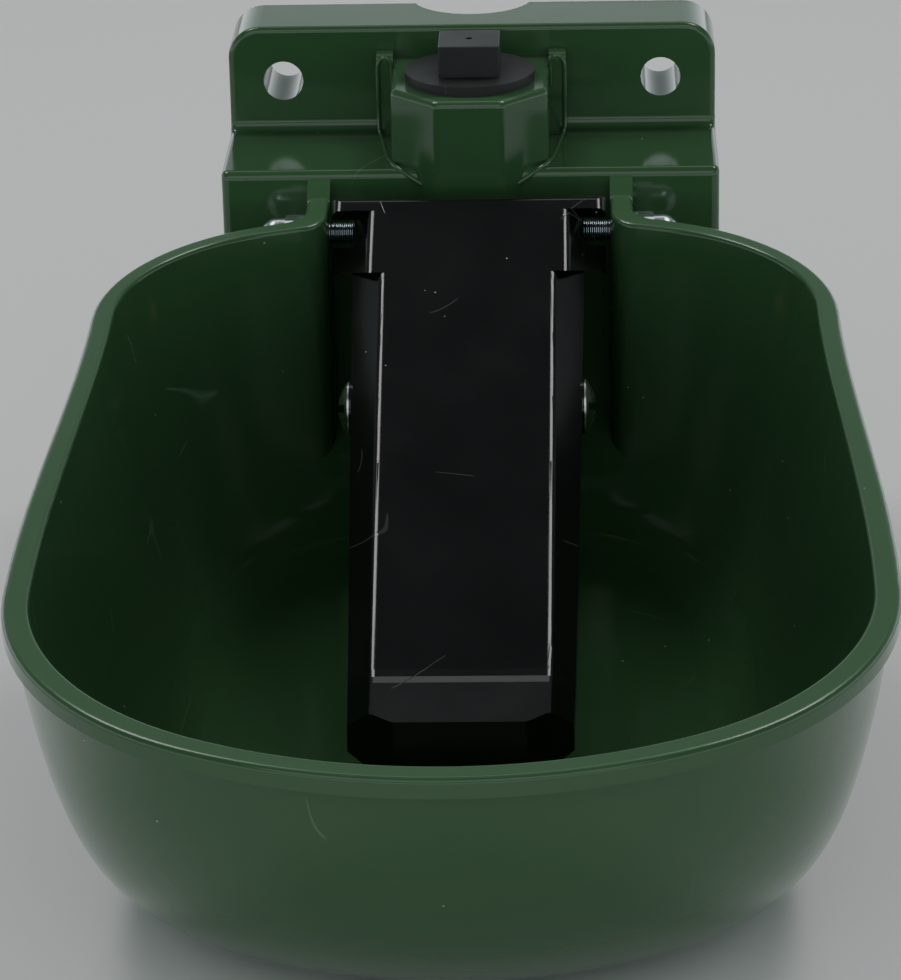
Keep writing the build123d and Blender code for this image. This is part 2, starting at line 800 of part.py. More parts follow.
def domed_head(side, face, collar):
    """Domed head standing on a short collar, with a driver slot across the dome."""
    radius = cross_head_dia / 2
    dome_radius = (radius**2 + cross_head_dome**2) / (2 * cross_head_dome)
    crown = face + collar + cross_head_dome
    turn = asin(radius / dome_radius) / 2
    with BuildPart() as head:
        with BuildSketch(Plane(cross_plane(0).origin, x_dir=(1, 0, 0), z_dir=(0, -1, 0))):
            with BuildLine():
                dome = ThreePointArc(
                    (side * crown, 0),
                    (side * (crown - dome_radius * (1 - cos(turn))), dome_radius * sin(turn)),
                    (side * (face + collar), radius),
                )
                Polyline(dome @ 1, (side * face, radius), (side * face, 0), dome @ 0)
            make_face()
        revolve(axis=Axis(cross_plane(0).origin, (1, 0, 0)))
        with BuildSketch(cross_plane(side * (crown - cross_slot_depth))):
            Rectangle(cross_slot_width, cross_head_dia)
        extrude(amount=side * cross_slot_depth, mode=Mode.SUBTRACT)
    return head


left_head = domed_head(-1, cross_head_face, cross_head_collar)
with BuildPart() as cross_pin:
    add(left_head.part)
    with BuildSketch(cross_plane(-cross_head_face)):
        Circle(cross_pin_dia / 2)
    extrude(amount=2 * cross_head_face + cross_cap_length)
cross_pin.part.label = "cross_pin"

right_head = domed_head(1, cross_head_face, cross_cap_length)
with BuildPart() as cross_pin_cap:
    add(right_head.part)
    with BuildSketch(cross_plane(cross_head_face)):
        Circle(cross_pin_dia / 2 + cross_pin_fit)
    extrude(amount=cross_cap_length, mode=Mode.SUBTRACT)
cross_pin_cap.part.label = "cross_pin_cap"


# ---------------------------------------------------------------- inlet plug and its seal
def column_circle(radius):
    """Circle on the line of the gallery."""
    with Locations((0, -column_reach)):
        Circle(radius)


with BuildPart() as inlet_plug:
    with BuildSketch(Plane.XY.offset(column_top)):
        column_circle(plug_flange_dia / 2)
    extrude(amount=plug_flange_thickness)
    with BuildSketch(Plane.XY.offset(plug_top)):
        with Locations((0, -column_reach)):
            Rectangle(plug_head_side, plug_head_side)
    extrude(amount=-plug_head_height)
    head_corners = inlet_plug.edges().filter_by(Axis.Z)
    fillet(head_corners, plug_head_edge)
    head_edges = inlet_plug.edges().filter_by(lambda e: abs(e.center().Z - plug_top) < match_tolerance)
    fillet(head_edges, plug_head_edge / 2)
    with BuildSketch(Plane.XY.offset(column_top)):
        column_circle(inlet_thread_minor_dia / 2 - plug_thread_fit)
    extrude(amount=-plug_shank_length)
    with BuildSketch(Plane.XY.offset(column_top - plug_shank_length)):
        column_circle(plug_bore_dia / 2)
    extrude(amount=plug_shank_length, mode=Mode.SUBTRACT)
    with BuildSketch(Plane.XY.offset(plug_top - plug_dimple_depth)):
        column_circle(plug_dimple_dia / 2)
    extrude(amount=plug_dimple_depth, mode=Mode.SUBTRACT)
inlet_plug.part.label = "inlet_plug"

with BuildPart() as plug_seal:
    with BuildSketch(Plane.XY.offset(column_top - plug_seat_depth)):
        column_circle(plug_seal_dia / 2)
        with Locations((0, -column_reach)):
            Circle(plug_seal_inner_dia / 2, mode=Mode.SUBTRACT)
    extrude(amount=plug_seat_depth)
plug_seal.part.label = "plug_seal"


# ---------------------------------------------------------------- valve
valve_axis = Axis((0, 0, valve_level), (0, 1, 0))
hex_start = valve_boss_reach + gasket_thickness
seal_front = seat_reach - seal_gap
seal_back = seal_front - seal_thickness
disc_back = seal_back - stem_disc_thickness
rod_hole_radius = stem_dia / 2 + valve_thread_fit


def turned(*profile):
    """Solid turned about the valve's line from (reach, radius) corners."""
    with BuildPart() as solid:
        with BuildSketch(Plane.YZ):
            side_profile(*[(reach, valve_level + radius) for reach, radius in profile])
        revolve(axis=valve_axis)
    return solid


def ring(start, thickness, inner_radius, outer_radius):
    """Flat ring on the valve's line."""
    return turned(
        (start, inner_radius),
        (start, outer_radius),
        (start + thickness, outer_radius),
        (start + thickness, inner_radius),
    )


valve_barrel = turned(
    (valve_back_reach, valve_chamber_dia / 2),
    (valve_back_reach, valve_shank_dia / 2),
    (hex_start, valve_shank_dia / 2),
    (hex_start, valve_nose_dia / 2),
    (valve_nose_reach, valve_nose_dia / 2),
    (valve_nose_reach, valve_exit_dia / 2),
    (seat_reach + valve_lead_in, valve_port_dia / 2),
    (seat_reach, valve_port_dia / 2),
    (seat_reach, valve_chamber_dia / 2),
)
with BuildPart() as valve_body:
    add(valve_barrel.part)
    with BuildSketch(Plane.XZ.offset(hex_start)):
        with Locations((0, valve_level)):
            RegularPolygon(valve_hex_flats / 2, hexagon_sides, major_radius=False)
            Circle(valve_nose_dia / 2, mode=Mode.SUBTRACT)
    extrude(amount=valve_hex_length)
valve_body.part.label = "valve_body"

body_gasket = ring(
    valve_boss_reach, gasket_thickness, valve_shank_dia / 2 + valve_thread_fit, gasket_dia / 2
)
body_gasket.part.label = "body_gasket"

valve_stem = turned(
    (disc_back, 0),
    (disc_back, stem_disc_dia / 2),
    (seal_back, stem_disc_dia / 2),
    (seal_back, stem_dia / 2),
    (stem_reach, stem_dia / 2),
    (stem_reach, 0),
)
valve_stem.part.label = "valve_stem"

stem_seal = ring(seal_back, seal_thickness, rod_hole_radius, stem_disc_dia / 2)
stem_seal.part.label = "stem_seal"

seal_clip = ring(seal_front, clip_thickness, rod_hole_radius, clip_dia / 2)
seal_clip.part.label = "seal_clip"

spring_seat = ring(
    valve_back_reach,
    spring_seat_thickness,
    spring_seat_port_dia / 2,
    valve_chamber_dia / 2 - valve_thread_fit,
)
spring_seat.part.label = "spring_seat"

spring_start = valve_back_reach + spring_seat_thickness + spring_wire_dia / 2 + seal_gap
spring_length = disc_back - spring_start - spring_wire_dia / 2 - seal_gap
with BuildPart() as valve_spring:
    with BuildLine():
        coil = Helix(
            pitch=spring_length / spring_turns,
            height=spring_length,
            radius=(spring_dia - spring_wire_dia) / 2,
            center=(0, -spring_start, valve_level),
            direction=(0, -1, 0),
        )
    with BuildSketch(Plane(coil @ 0, z_dir=coil % 0)):
        Circle(spring_wire_dia / 2)
    sweep()
valve_spring.part.label = "valve_spring"

# ---------------------------------------------------------------- files
os.makedirs("parts", exist_ok=True)
for piece in (
    bowl_body,
    tongue,
    pivot_pin,
    pin_washer_left,
    pin_washer_right,
    cap_nut_left,
    cap_nut_right,
    cross_pin,
    cross_pin_cap,
    inlet_plug,
    plug_seal,
    valve_body,
    body_gasket,
    valve_stem,
    stem_seal,
    seal_clip,
    spring_seat,
    valve_spring,
):
    export_step(piece.part, f"parts/{piece.part.label}.step")
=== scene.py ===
"""Dresses the livestock drinking bowl: finishes, smooth surfaces, small hardware, light and camera."""

import logging
from collections.abc import Callable
from dataclasses import dataclass, field
from enum import Enum
from math import cos, pi, radians, sin

import bmesh
import bpy
from mathutils import Matrix, Vector


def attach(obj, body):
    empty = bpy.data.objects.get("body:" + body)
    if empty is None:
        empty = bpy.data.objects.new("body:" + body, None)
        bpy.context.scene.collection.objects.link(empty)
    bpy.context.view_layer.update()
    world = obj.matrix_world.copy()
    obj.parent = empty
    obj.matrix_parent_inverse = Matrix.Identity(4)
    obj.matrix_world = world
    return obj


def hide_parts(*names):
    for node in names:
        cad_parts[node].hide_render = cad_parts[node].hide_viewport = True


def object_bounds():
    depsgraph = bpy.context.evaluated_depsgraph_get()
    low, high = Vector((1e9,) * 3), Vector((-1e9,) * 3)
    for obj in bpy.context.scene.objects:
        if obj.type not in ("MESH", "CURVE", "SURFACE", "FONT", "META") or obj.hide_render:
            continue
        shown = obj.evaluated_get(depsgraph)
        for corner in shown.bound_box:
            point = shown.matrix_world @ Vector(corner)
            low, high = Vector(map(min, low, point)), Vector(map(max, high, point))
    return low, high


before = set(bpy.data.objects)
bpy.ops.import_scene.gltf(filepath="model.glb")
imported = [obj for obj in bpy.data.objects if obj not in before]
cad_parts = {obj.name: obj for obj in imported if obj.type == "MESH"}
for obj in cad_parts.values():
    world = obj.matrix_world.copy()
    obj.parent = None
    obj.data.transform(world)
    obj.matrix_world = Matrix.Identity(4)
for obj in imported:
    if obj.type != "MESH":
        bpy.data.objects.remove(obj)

LOG = logging.getLogger("drinking_bowl")
CAD_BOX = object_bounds()
MM = 0.001
MERGE_DISTANCE = 0.00001
SMOOTH_ANGLE = radians(35)


# ---------------------------------------------------------------------- helpers
class NodeTable:
    """Small helper that adds and links shader nodes of one material."""

    def __init__(self, material: bpy.types.Material) -> None:
        """Start a fresh node tree.

        Args:
            material: The material whose nodes are built.
        """
        material.use_nodes = True
        self.tree = material.node_tree
        self.tree.nodes.clear()

    def add(self, kind: str, **values: object) -> bpy.types.ShaderNode:
        """Add a node and set its properties and plain inputs.

        Args:
            kind: The node's type name.
            **values: Properties by name; inputs as `in_NAME` with underscores for spaces.

        Returns:
            The new node.
        """
        node = self.tree.nodes.new(kind)
        for name, value in values.items():
            if name.startswith("in_"):
                node.inputs[name[3:].replace("_", " ")].default_value = value
            else:
                setattr(node, name, value)
        return node

    def link(self, source: bpy.types.NodeSocket, target: bpy.types.NodeSocket) -> None:
        """Join an output to an input."""
        self.tree.links.new(source, target)

    def surface(self, **values: object) -> bpy.types.ShaderNode:
        """Add the shader and the output, joined.

        Args:
            **values: Plain inputs of the shader, as for `add`.

        Returns:
            The shader node.
        """
        shader = self.add("ShaderNodeBsdfPrincipled", **values)
        output = self.add("ShaderNodeOutputMaterial")
        self.link(shader.outputs["BSDF"], output.inputs["Surface"])
        return shader

    def noise(
        self, scale: float, detail: float = 2.0, stretch: tuple[float, float, float] = (1, 1, 1)
    ) -> bpy.types.NodeSocket:
        """Noise over the piece's own coordinates.

        Args:
            scale: Cells per metre.
            detail: Number of finer octaves.
            stretch: Extra scale along each axis.

        Returns:
            The noise's value.
        """
        place = self.add("ShaderNodeTexCoord")
        mapping = self.add("ShaderNodeMapping", in_Scale=stretch)
        self.link(place.outputs["Object"], mapping.inputs["Vector"])
        noise = self.add("ShaderNodeTexNoise", in_Scale=scale, in_Detail=detail)
        self.link(mapping.outputs["Vector"], noise.inputs["Vector"])
        return noise.outputs["Fac"]

    def ramp(
        self, value: bpy.types.NodeSocket, low: float, high: float, start: float = 0.0, end: float = 1.0
    ) -> bpy.types.NodeSocket:
        """Map a value's range onto another, clamped.

        Args:
            value: The value to map.
            low: Where the old range starts.
            high: Where the old range ends.
            start: The new value at `low`.
            end: The new value at `high`.

        Returns:
            The mapped value.
        """
        limits = {"in_From_Min": low, "in_From_Max": high, "in_To_Min": start, "in_To_Max": end}
        node = self.add("ShaderNodeMapRange", **limits)
        self.link(value, node.inputs["Value"])
        return node.outputs["Result"]

    def cover(
        self, share: bpy.types.NodeSocket, under: bpy.types.NodeSocket, top: tuple[float, float, float]
    ) -> bpy.types.NodeSocket:
        """Lay a colour over another.

        Args:
            share: Zero for the colour below, one for the colour on top.
            under: The colour below.
            top: The colour on top.

        Returns:
            The mixed colour.
        """
        mix = self.add("ShaderNodeMix", data_type="RGBA")
        self.link(share, mix.inputs["Factor"])
        self.link(under, mix.inputs[6])
        mix.inputs[7].default_value = (*top, 1.0)
        return mix.outputs[2]

    def level(
        self, share: bpy.types.NodeSocket, under: bpy.types.NodeSocket, top: float
    ) -> bpy.types.NodeSocket:
        """Move a value towards another.

        Args:
            share: Zero for the value below, one for the value on top.
            under: The value below.
            top: The value on top.

        Returns:
            The mixed value.
        """
        mix = self.add("ShaderNodeMix", data_type="FLOAT")
        self.link(share, mix.inputs[0])
        self.link(under, mix.inputs[2])
        mix.inputs[3].default_value = top
        return mix.outputs[0]

    def specks(self, scale: float, size: float, cover: float) -> bpy.types.NodeSocket:
        """Scatter small round specks of dust.

        Args:
            scale: Cells per metre.
            size: Speck radius as a share of a cell.
            cover: Noise level above which specks lie.

        Returns:
            One on a speck, zero elsewhere.
        """
        cells = self.add("ShaderNodeTexVoronoi", in_Scale=scale)
        place = self.add("ShaderNodeTexCoord")
        self.link(place.outputs["Object"], cells.inputs["Vector"])
        dot = self.ramp(cells.outputs["Distance"], size, size * 0.6)
        patch = self.ramp(self.noise(scale * 0.31, 1.0), cover, cover + 0.01)
        return self.product(dot, patch)

    def thread(self, pitch: float) -> bpy.types.NodeSocket:
        """Run a screw thread's rings along X.

        Args:
            pitch: Distance between two rings.

        Returns:
            The thread's height from zero at the root to one at the crest.
        """
        rings = self.add("ShaderNodeTexWave", bands_direction="X", in_Scale=pi / (10 * pitch))
        place = self.add("ShaderNodeTexCoord")
        self.link(place.outputs["Object"], rings.inputs["Vector"])
        return rings.outputs["Fac"]

    def product(self, first: bpy.types.NodeSocket, second: bpy.types.NodeSocket) -> bpy.types.NodeSocket:
        """Multiply two values.

        Args:
            first: One value.
            second: The other value.

        Returns:
            Their product.
        """
        node = self.add("ShaderNodeMath", operation="MULTIPLY")
        self.link(first, node.inputs[0])
        self.link(second, node.inputs[1])
        return node.outputs[0]

    def hairlines(
        self, scale: float, width: float, cover: float, stretch: tuple[float, float, float] = (1, 1, 1)
    ) -> bpy.types.NodeSocket:
        """Fine curved scratches: the thin level lines of a noise, kept in patches.

        Args:
            scale: Size of the curves, in cells per metre.
            width: Width of a line as a share of the noise's range.
            cover: Level above which a patch keeps its lines.
            stretch: Extra scale along each axis.

        Returns:
            One on a scratch, zero elsewhere.
        """
        level = self.add("ShaderNodeMath", operation="SUBTRACT")
        self.link(self.noise(scale, 0.0, stretch), level.inputs[0])
        level.inputs[1].default_value = 0.5
        size = self.add("ShaderNodeMath", operation="ABSOLUTE")
        self.link(level.outputs[0], size.inputs[0])
        line = self.ramp(size.outputs[0], width, 0.0)
        patch = self.ramp(self.noise(scale * 1.7, 1.0), cover, cover + 0.03)
        return self.product(line, patch)

    def blend(
        self, share: bpy.types.NodeSocket, low: tuple[float, ...], high: tuple[float, ...]
    ) -> bpy.types.NodeSocket:
        """Blend two colours.

        Args:
            share: Zero for the first colour and one for the second.
            low: The first colour.
            high: The second colour.

        Returns:
            The blended colour.
        """
        mix = self.add("ShaderNodeMix", data_type="RGBA")
        self.link(share, mix.inputs["Factor"])
        mix.inputs[6].default_value = (*low, 1.0)
        mix.inputs[7].default_value = (*high, 1.0)
        return mix.outputs[2]

    def bump(
        self,
        shader: bpy.types.ShaderNode,
        height: bpy.types.NodeSocket,
        depth: float,
        below: bpy.types.ShaderNode | None = None,
    ) -> bpy.types.ShaderNode:
        """Bump the shader's normal.

        Args:
            shader: The shader to bump.
            height: The height, from zero to one.
            depth: Height of one, in metres.
            below: An earlier bump to build on.

        Returns:
            The bump node.
        """
        node = self.add("ShaderNodeBump", in_Distance=depth, in_Strength=1.0)
        self.link(height, node.inputs["Height"])
        if below:
            self.link(below.outputs["Normal"], node.inputs["Normal"])
        self.link(node.outputs["Normal"], shader.inputs["Normal"])
        return node


# ---------------------------------------------------------------------- finishes
@dataclass(frozen=True)
class PaintedLightAndWearBand:
    """A band on the upward faces near a plane: its paler colour is painted light on the rim's top, and its
    higher roughness is wear from hands and muzzles.
    """

    point: tuple[float, float, float]
    normal: tuple[float, float, float]
    depth: float
    back_limit: float
    colour: tuple[float, float, float]
    roughness: float
    facing_levels: tuple[float, float] = (0.75, 0.97)
    edge_width: float = 0.001

    def mask(self, nodes: NodeTable) -> bpy.types.NodeSocket:
        """Mark the band.

        Args:
            nodes: The material's nodes.

        Returns:
            One on the band, zero elsewhere.
        """
        place = nodes.add("ShaderNodeTexCoord")
        offset = nodes.add("ShaderNodeVectorMath", operation="SUBTRACT")
        nodes.link(place.outputs["Object"], offset.inputs[0])
        offset.inputs[1].default_value = self.point
        height = nodes.add("ShaderNodeVectorMath", operation="DOT_PRODUCT")
        nodes.link(offset.outputs["Vector"], height.inputs[0])
        height.inputs[1].default_value = self.normal
        facing = nodes.add("ShaderNodeVectorMath", operation="DOT_PRODUCT")
        nodes.link(place.outputs["Normal"], facing.inputs[0])
        facing.inputs[1].default_value = self.normal
        parts = nodes.add("ShaderNodeSeparateXYZ")
        nodes.link(place.outputs["Object"], parts.inputs["Vector"])
        near = nodes.ramp(height.outputs["Value"], -self.depth, -self.depth / 2)
        upward = nodes.ramp(facing.outputs["Value"], *self.facing_levels)
        ahead = nodes.ramp(parts.outputs["Y"], self.back_limit, self.back_limit - self.edge_width)
        return nodes.product(nodes.product(near, upward), ahead)


@dataclass(frozen=True)
class MouldedPlastic:
    """Glossy injection-moulded plastic with flow shades, a slightly wavy skin and handling scratches."""

    name: str
    colour: tuple[float, float, float]
    flow_colour: tuple[float, float, float]
    roughness: float
    roughness_swing: float
    wave_depth: float
    scratch_colour: tuple[float, float, float]
    scratch_scale: float
    scratch_cover: float
    speck_cover: float = 0.66
    dust_colour: tuple[float, float, float] = (0.3, 0.32, 0.3)
    ior: float = 1.5
    band: PaintedLightAndWearBand | None = None
    flow_scale: float = 14.0
    flow_detail: float = 3.0
    flow_levels: tuple[float, float] = (0.35, 0.7)
    mottle_scale: float = 60.0
    mottle_detail: float = 4.0
    mottle_levels: tuple[float, float] = (0.3, 0.75)
    wave_scale: float = 45.0
    scratch_width: float = 0.004
    scratch_depth: float = 0.00002
    dust_scale: float = 240.0
    dust_size: float = 0.07
    dust_roughness: float = 0.8

    def build(self) -> bpy.types.Material:
        """Make the material.

        Returns:
            The plastic, with its shades, scratches, dust and its band of painted light and dulled wear.
        """
        material = bpy.data.materials.new(self.name)
        nodes = NodeTable(material)
        shader = nodes.surface(in_IOR=self.ior)
        flow = nodes.ramp(nodes.noise(self.flow_scale, self.flow_detail), *self.flow_levels)
        scratches = nodes.hairlines(self.scratch_scale, self.scratch_width, self.scratch_cover)
        dust = nodes.specks(self.dust_scale, self.dust_size, self.speck_cover)
        colour = nodes.blend(flow, self.colour, self.flow_colour)
        colour = nodes.cover(scratches, colour, self.scratch_colour)
        dull = self.roughness + self.roughness_swing
        mottle = nodes.noise(self.mottle_scale, self.mottle_detail)
        rough = nodes.ramp(mottle, *self.mottle_levels, self.roughness, dull)
        if self.band:
            # Painted light: the band's paler colour stands in for light on the rim's upward faces; its
            # roughness is dulled wear.
            mask = self.band.mask(nodes)
            colour = nodes.cover(mask, colour, self.band.colour)
            rough = nodes.level(mask, rough, self.band.roughness)
        colour = nodes.cover(dust, colour, self.dust_colour)
        nodes.link(colour, shader.inputs["Base Color"])
        nodes.link(nodes.level(dust, rough, self.dust_roughness), shader.inputs["Roughness"])
        wave = nodes.bump(shader, nodes.noise(self.wave_scale, 1.0), self.wave_depth)
        nodes.bump(shader, scratches, -self.scratch_depth, wave)
        return material


@dataclass(frozen=True)
class BareMetal:
    """Metal with fine tool or brush marks and dull spots."""

    name: str
    colour: tuple[float, float, float]
    stain_colour: tuple[float, float, float]
    roughness: float
    roughness_swing: float
    mark_stretch: tuple[float, float, float]
    mark_depth: float
    thread_pitch: float = 0.0
    thread_depth_share: float = 0.25
    stain_scale: float = 220.0
    stain_detail: float = 3.0
    stain_levels: tuple[float, float] = (0.45, 0.75)
    mark_scale: float = 900.0
    mark_levels: tuple[float, float] = (0.3, 0.7)

    def build(self) -> bpy.types.Material:
        """Make the material.

        Returns:
            The metal, with its marks and, where it has a pitch, its thread.
        """
        material = bpy.data.materials.new(self.name)
        nodes = NodeTable(material)
        shader = nodes.surface(in_Metallic=1.0)
        stain = nodes.ramp(nodes.noise(self.stain_scale, self.stain_detail), *self.stain_levels)
        nodes.link(nodes.blend(stain, self.colour, self.stain_colour), shader.inputs["Base Color"])
        marks = nodes.noise(self.mark_scale, stretch=self.mark_stretch)
        dull = self.roughness + self.roughness_swing
        rough = nodes.ramp(marks, *self.mark_levels, self.roughness, dull)
        nodes.link(rough, shader.inputs["Roughness"])
        worn = nodes.bump(shader, marks, self.mark_depth)
        if self.thread_pitch:
            depth = self.thread_pitch * self.thread_depth_share
            nodes.bump(shader, nodes.thread(self.thread_pitch), depth, worn)
        return material


@dataclass(frozen=True)
class MattRubber:
    """Matt rubber or pressed fibre with a fine grain."""

    name: str
    colour: tuple[float, float, float]
    grain_colour: tuple[float, float, float]
    roughness: float
    grain_scale: float = 1800.0
    grain_detail: float = 3.0
    grain_levels: tuple[float, float] = (0.35, 0.65)
    grain_depth: float = 0.00003

    def build(self) -> bpy.types.Material:
        """Make the material.

        Returns:
            The rubber or fibre, with its grain.
        """
        material = bpy.data.materials.new(self.name)
        nodes = NodeTable(material)
        shader = nodes.surface(in_Roughness=self.roughness)
        grain = nodes.ramp(nodes.noise(self.grain_scale, self.grain_detail), *self.grain_levels)
        nodes.link(nodes.blend(grain, self.colour, self.grain_colour), shader.inputs["Base Color"])
        nodes.bump(shader, grain, self.grain_depth)
        return material


class Finish(Enum):
    """The finishes of the bowl's pieces."""

    GREEN = MouldedPlastic(
        name="green_moulding",
        colour=(0.034, 0.088, 0.036),
        flow_colour=(0.037, 0.095, 0.039),
        roughness=0.1,
        roughness_swing=0.05,
        wave_depth=0.00004,
        scratch_colour=(0.08, 0.16, 0.09),
        scratch_scale=26.0,
        scratch_cover=0.64,
        # Rim band: the paler green is painted light on the rim's upward faces; the higher roughness is
        # wear.
        band=PaintedLightAndWearBand(
            point=(0.0, -0.0791, -0.0195),
            normal=(0.0, -0.08716, 0.99619),
            depth=0.0035,
            back_limit=-0.0565,
            colour=(0.05, 0.125, 0.055),
            roughness=0.2,
        ),
    )
    BLACK = MouldedPlastic(
        name="black_moulding",
        colour=(0.0042, 0.0042, 0.0044),
        flow_colour=(0.006, 0.006, 0.0062),
        roughness=0.14,
        roughness_swing=0.06,
        wave_depth=0.00004,
        scratch_colour=(0.05, 0.05, 0.05),
        scratch_scale=30.0,
        scratch_cover=0.58,
    )
    PLUG_BLACK = MouldedPlastic(
        name="plug_moulding",
        colour=(0.009, 0.0098, 0.0098),
        flow_colour=(0.013, 0.014, 0.014),
        roughness=0.42,
        roughness_swing=0.12,
        wave_depth=0.00002,
        scratch_colour=(0.06, 0.06, 0.06),
        scratch_scale=90.0,
        scratch_cover=0.6,
    )
    ZINC = BareMetal("bright_zinc", (0.78, 0.82, 0.88), (0.62, 0.66, 0.72), 0.16, 0.1, (1, 1, 1), 0.000004)
    STEEL = BareMetal(
        "turned_steel", (0.58, 0.58, 0.57), (0.42, 0.42, 0.41), 0.2, 0.15, (6, 0.4, 0.4), 0.000006
    )
    THREAD = BareMetal(
        "threaded_steel", (0.34, 0.38, 0.42), (0.2, 0.23, 0.26), 0.18, 0.14, (6, 0.4, 0.4), 0.000006, 0.001
    )
    BRASS = BareMetal(
        "turned_brass", (0.72, 0.52, 0.24), (0.5, 0.34, 0.14), 0.22, 0.15, (0.4, 6, 0.4), 0.000008
    )
    RUBBER = MattRubber("soft_rubber", (0.012, 0.012, 0.012), (0.02, 0.02, 0.02), 0.7)
    FIBRE = MattRubber("red_fibre", (0.28, 0.05, 0.035), (0.36, 0.08, 0.05), 0.75)


class Finishes:
    """Builds each finish once and puts it on pieces."""

    def __init__(self) -> None:
        """Start with nothing built."""
        self.built: dict[Finish, bpy.types.Material] = {}

    def dress(self, piece: bpy.types.Object, finish: Finish) -> None:
        """Give a piece one finish all over.

        Args:
            piece: A CAD node or a modelled piece.
            finish: The finish it gets.
        """
        if finish not in self.built:
            self.built[finish] = finish.value.build()
        if not piece.material_slots:
            piece.data.materials.append(None)
        for place in piece.material_slots:
            place.material = self.built[finish]
        LOG.info("%s: %s", piece.name, finish.value.name)


# ---------------------------------------------------------------------- modelling
class Bench:
    """Steps of modelling by hand that the sub-assemblies share."""

    @staticmethod
    def start(name: str) -> bpy.types.Object:
        """Name the primitive just added and open it for editing.

        Args:
            name: The piece's name.

        Returns:
            The open piece.
        """
        piece = bpy.context.active_object
        piece.name = name
        bpy.ops.object.mode_set(mode="EDIT")
        return piece

    @staticmethod
    def clear() -> None:
        """Select nothing, with no object open."""
        bpy.ops.object.select_all(action="DESELECT")

    @staticmethod
    def select_faces(piece: bpy.types.Object, choose: Callable[[bmesh.types.BMFace], bool]) -> None:
        """Select only the faces of an open piece that a test picks.

        Args:
            piece: The piece being edited.
            choose: The test on each face, in the piece's own coordinates.
        """
        bpy.ops.mesh.select_all(action="DESELECT")
        bpy.ops.mesh.select_mode(type="FACE")
        shape = bmesh.from_edit_mesh(piece.data)
        for face in shape.faces:
            face.select_set(choose(face))
        shape.select_flush_mode()
        bmesh.update_edit_mesh(piece.data)

    @staticmethod
    def close(piece: bpy.types.Object) -> None:
        """Leave editing, put the piece's place into its mesh and smooth it.

        Args:
            piece: The piece being edited.
        """
        bpy.ops.mesh.select_all(action="SELECT")
        bpy.ops.mesh.remove_doubles(threshold=MERGE_DISTANCE)
        bpy.ops.mesh.normals_make_consistent(inside=False)
        bpy.ops.object.mode_set(mode="OBJECT")
        Bench.clear()
        piece.select_set(True)
        bpy.context.view_layer.objects.active = piece
        bpy.ops.object.transform_apply(location=True, rotation=True, scale=True)
        bpy.ops.object.shade_smooth_by_angle(angle=SMOOTH_ANGLE)

    @staticmethod
    def carve(piece: bpy.types.Object, cutter: bpy.types.Object) -> None:
        """Cut one piece out of another and throw the cutter away.

        Args:
            piece: The piece that keeps its place.
            cutter: The piece that is cut out and removed.
        """
        cut = piece.modifiers.new("cut", "BOOLEAN")
        cut.operation = "DIFFERENCE"
        cut.solver = "EXACT"
        cut.object = cutter
        Bench.clear()
        bpy.context.view_layer.objects.active = piece
        piece.select_set(True)
        bpy.ops.object.modifier_apply(modifier=cut.name)
        bpy.data.objects.remove(cutter, do_unlink=True)


# ---------------------------------------------------------------------- sub-assemblies
@dataclass
class Bowl:
    """The green moulding: trough, ribs, block and wall plate, with its raised edge beads."""

    finishes: Finishes
    bead_radius: float = 0.0006
    bead_sides: int = 12
    bead_left: tuple[tuple[float, float, float], ...] = (
        (-19.8, -27.4, 0.0),
        (-19.8, -27.4, 4.5),
        (-20.0, -27.4, 6.0),
        (-20.7, -27.4, 7.1),
        (-21.6, -27.4, 7.5),
        (-22.5, -27.4, 7.1),
        (-23.2, -27.4, 6.0),
        (-23.4, -27.4, 4.5),
        (-23.4, -27.4, -6.0),
        (-23.3, -27.6, -11.0),
        (-22.9, -29.4, -12.4),
        (-22.2, -34.0, -12.6),
        (-21.2, -42.0, -12.6),
        (-20.3, -48.5, -12.6),
        (-18.6, -53.0, -12.7),
        (-16.4, -56.0, -13.2),
        (-14.2, -57.2, -14.6),
        (-11.2, -57.3, -16.6),
        (-9.2, -57.3, -18.4),
    )

    def build(self) -> None:
        """Model the two edge beads beside the column."""
        left = self.sweep_bead("edge_bead_left", [Vector(point) * MM for point in self.bead_left])
        right = self.sweep_bead("edge_bead_right", [Vector((-x, y, z)) * MM for x, y, z in self.bead_left])
        for bead in (left, right):
            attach(bead, "base")
            self.finishes.dress(bead, Finish.GREEN)

    def sweep_bead(self, name: str, path: list[Vector]) -> bpy.types.Object:
        """Draw a round bead along a path.

        Args:
            name: The bead's name.
            path: Points that the bead's middle passes through.

        Returns:
            The finished bead.
        """
        Bench.clear()
        course = (path[1] - path[0]).normalized()
        bpy.ops.mesh.primitive_circle_add(
            vertices=self.bead_sides,
            radius=self.bead_radius,
            fill_type="NGON",
            location=path[0],
            rotation=course.to_track_quat("Z", "Y").to_euler(),
        )
        bead = Bench.start(name)
        bpy.ops.mesh.select_all(action="SELECT")
        for index in range(1, len(path)):
            ahead = path[min(index + 1, len(path) - 1)] - path[index - 1]
            step = path[index] - path[index - 1]
            bpy.ops.mesh.extrude_region_move(TRANSFORM_OT_translate={"value": step})
            turn = course.rotation_difference(ahead.normalized()).to_euler("XYZ")
            for axis, angle in zip("XYZ", turn):
                bpy.ops.transform.rotate(value=-angle, orient_axis=axis, center_override=path[index])
            course = ahead.normalized()
        Bench.close(bead)
        return bead

    def dress(self) -> None:
        """Put the green finish on the moulding."""
        self.finishes.dress(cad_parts["bowl_body"], Finish.GREEN)


